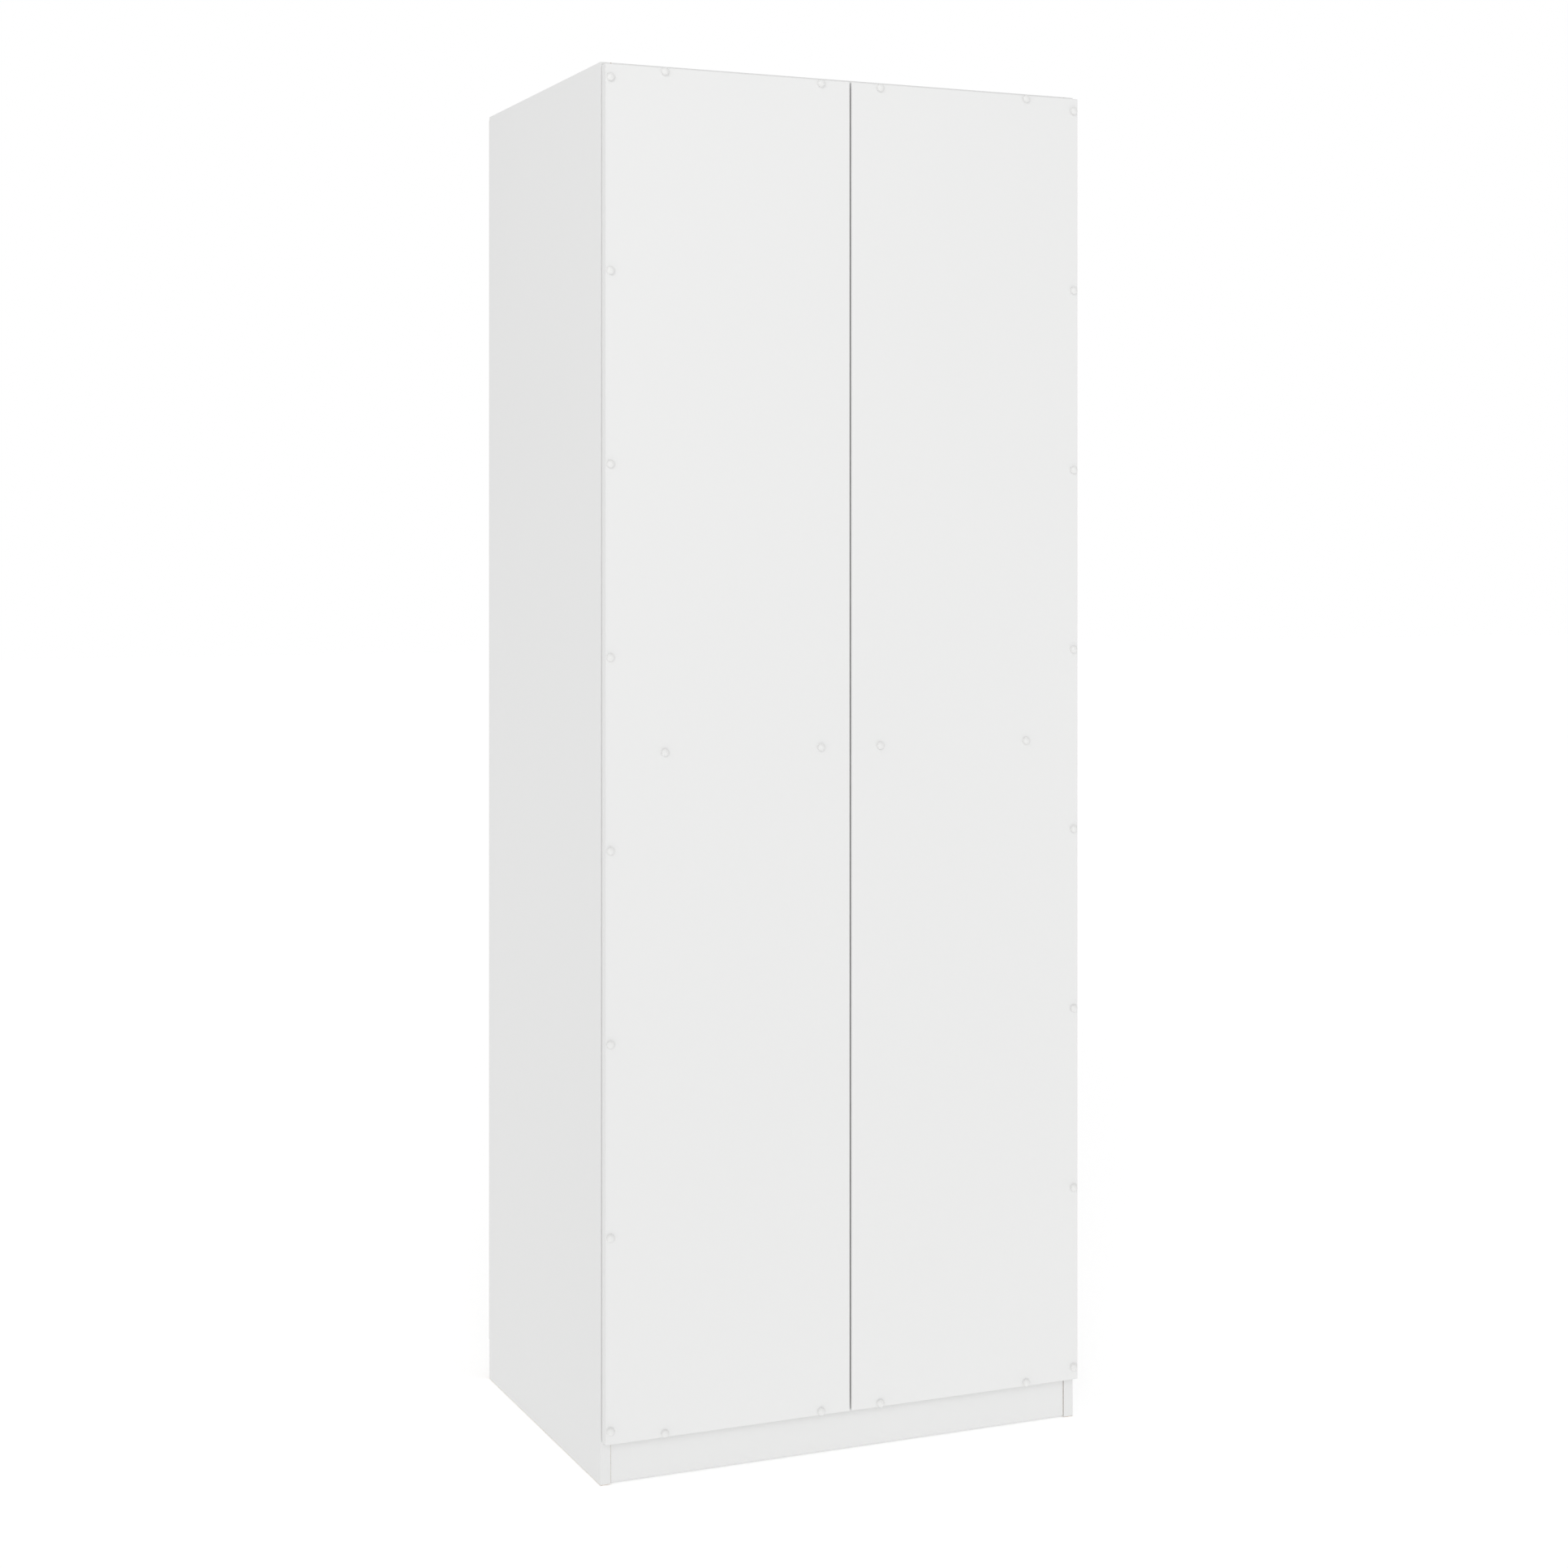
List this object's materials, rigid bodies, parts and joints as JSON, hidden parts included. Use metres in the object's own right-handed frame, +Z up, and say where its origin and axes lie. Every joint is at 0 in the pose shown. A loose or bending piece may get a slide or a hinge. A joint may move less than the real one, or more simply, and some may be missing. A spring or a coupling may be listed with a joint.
{
  "type": "pantry cabinet",
  "caption": "Tall handleless cupboard: full-height overlay doors on concealed hinges, plinth base, fixed and pinned shelves, and push-to-open latches.",
  "frame": {"origin": "middle of the footprint, on the floor", "axes": "+Z up, doors face -Y, +X to the right of someone who looks at the doors"},
  "size_m": [0.8, 0.586, 2.11],
  "materials": {
    "carcass_board": "white melamine-faced particle board with matching edge band, satin",
    "door_front": "white foil-faced board with fine matt surface and matching edge band",
    "back_board": "thin white-faced fibreboard",
    "hinge_steel": "nickel-plated pressed steel",
    "pin_steel": "zinc-plated steel",
    "white_plastic": "moulded plastic, matt"
  },
  "bodies": {
    "cabinet": {"back_board_left": "back_board", "back_board_right": "back_board", "back_joint_strip": "white_plastic", "bottom_panel": "carcass_board", "left_hinge_arm_1": "hinge_steel", "left_hinge_arm_2": "hinge_steel", "left_hinge_arm_3": "hinge_steel", "left_hinge_arm_4": "hinge_steel", "left_latch_housing": "white_plastic", "left_side_panel": "carcass_board", "middle_shelf": "carcass_board", "plinth_board": "carcass_board", "rear_plinth_rail": "carcass_board", "right_hinge_arm_1": "hinge_steel", "right_hinge_arm_2": "hinge_steel", "right_hinge_arm_3": "hinge_steel", "right_hinge_arm_4": "hinge_steel", "right_latch_housing": "white_plastic", "right_side_panel": "carcass_board", "shelf_1": "carcass_board", "shelf_1_pin_left_back": "pin_steel", "shelf_1_pin_left_front": "pin_steel", "shelf_1_pin_right_back": "pin_steel", "shelf_1_pin_right_front": "pin_steel", "shelf_2": "carcass_board", "shelf_2_pin_left_back": "pin_steel", "shelf_2_pin_left_front": "pin_steel", "shelf_2_pin_right_back": "pin_steel", "shelf_2_pin_right_front": "pin_steel", "shelf_3": "carcass_board", "shelf_3_pin_left_back": "pin_steel", "shelf_3_pin_left_front": "pin_steel", "shelf_3_pin_right_back": "pin_steel", "shelf_3_pin_right_front": "pin_steel", "shelf_4": "carcass_board", "shelf_4_pin_left_back": "pin_steel", "shelf_4_pin_left_front": "pin_steel", "shelf_4_pin_right_back": "pin_steel", "shelf_4_pin_right_front": "pin_steel", "top_panel": "carcass_board"},
    "left_door": {"left_door": "door_front", "left_hinge_cup_1": "hinge_steel", "left_hinge_cup_2": "hinge_steel", "left_hinge_cup_3": "hinge_steel", "left_hinge_cup_4": "hinge_steel"},
    "right_door": {"right_door": "door_front", "right_hinge_cup_1": "hinge_steel", "right_hinge_cup_2": "hinge_steel", "right_hinge_cup_3": "hinge_steel", "right_hinge_cup_4": "hinge_steel"},
    "left_hinge_links": {"left_hinge_link_1": "hinge_steel", "left_hinge_link_2": "hinge_steel", "left_hinge_link_3": "hinge_steel", "left_hinge_link_4": "hinge_steel"},
    "right_hinge_links": {"right_hinge_link_1": "hinge_steel", "right_hinge_link_2": "hinge_steel", "right_hinge_link_3": "hinge_steel", "right_hinge_link_4": "hinge_steel"},
    "left_latch_plunger": {"left_latch_plunger": "white_plastic"},
    "right_latch_plunger": {"right_latch_plunger": "white_plastic"}
  },
  "joints": [
    {"name": "left_door_hinge", "type": "hinge", "parent": "cabinet", "child": "left_door", "pos_m": [-0.393, -0.279, 1.085], "axis": [0, 0, -1], "range_deg": [0, 110]},
    {"name": "right_door_hinge", "type": "hinge", "parent": "cabinet", "child": "right_door", "pos_m": [0.393, -0.279, 1.085], "axis": [0, 0, 1], "range_deg": [0, 110]},
    {"name": "left_links_turn", "type": "hinge", "parent": "cabinet", "child": "left_hinge_links", "pos_m": [-0.38, -0.274, 1.085], "axis": [0, 0, -1], "range_deg": [0, 122]},
    {"name": "right_links_turn", "type": "hinge", "parent": "cabinet", "child": "right_hinge_links", "pos_m": [0.38, -0.274, 1.085], "axis": [0, 0, 1], "range_deg": [0, 122]},
    {"name": "left_latch_press", "type": "slide", "parent": "cabinet", "child": "left_latch_plunger", "axis": [0, 1, 0], "range_m": [0, 0.003], "stiffness_N_per_m": 1200},
    {"name": "right_latch_press", "type": "slide", "parent": "cabinet", "child": "right_latch_plunger", "axis": [0, 1, 0], "range_m": [0, 0.003], "stiffness_N_per_m": 1200}
  ],
  "couplings": [
    {"joint": "left_links_turn", "follows": "left_door_hinge", "ratio": 1.1},
    {"joint": "right_links_turn", "follows": "right_door_hinge", "ratio": 1.1}
  ]
}
